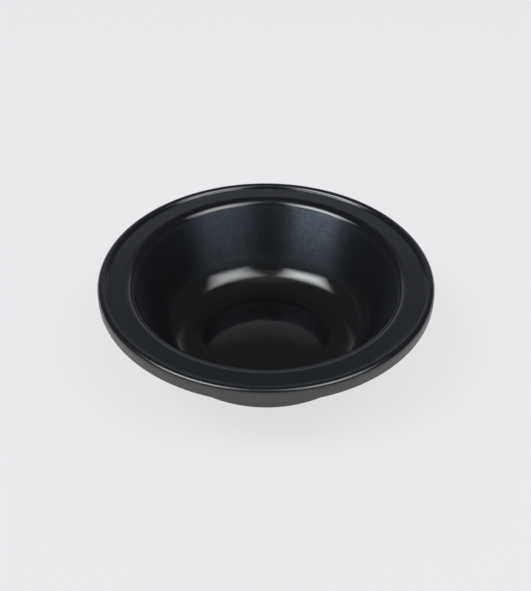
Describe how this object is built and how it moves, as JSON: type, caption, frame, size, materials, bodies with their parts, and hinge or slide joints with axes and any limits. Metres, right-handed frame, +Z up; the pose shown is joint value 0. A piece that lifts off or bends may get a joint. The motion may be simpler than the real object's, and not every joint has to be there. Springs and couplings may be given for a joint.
{
  "type": "diaphragm seal",
  "caption": "Black moulded rubber diaphragm: a shallow round cup with a slightly domed floor, a flat clamping flange and a rounded sealing bead round its rim.",
  "frame": {"origin": "centre of the flat low ring of the floor, on the plane that the cup stands on", "axes": "+Z up along the axis of the cup, towards its open side; +X and +Y lie in the standing plane and are equal, because the part is round"},
  "size_m": [0.178, 0.178, 0.0499],
  "materials": {
    "rubber": "satin, lightly polished by the mould"
  },
  "bodies": {
    "root": {"diaphragm": "rubber"}
  },
  "joints": []
}
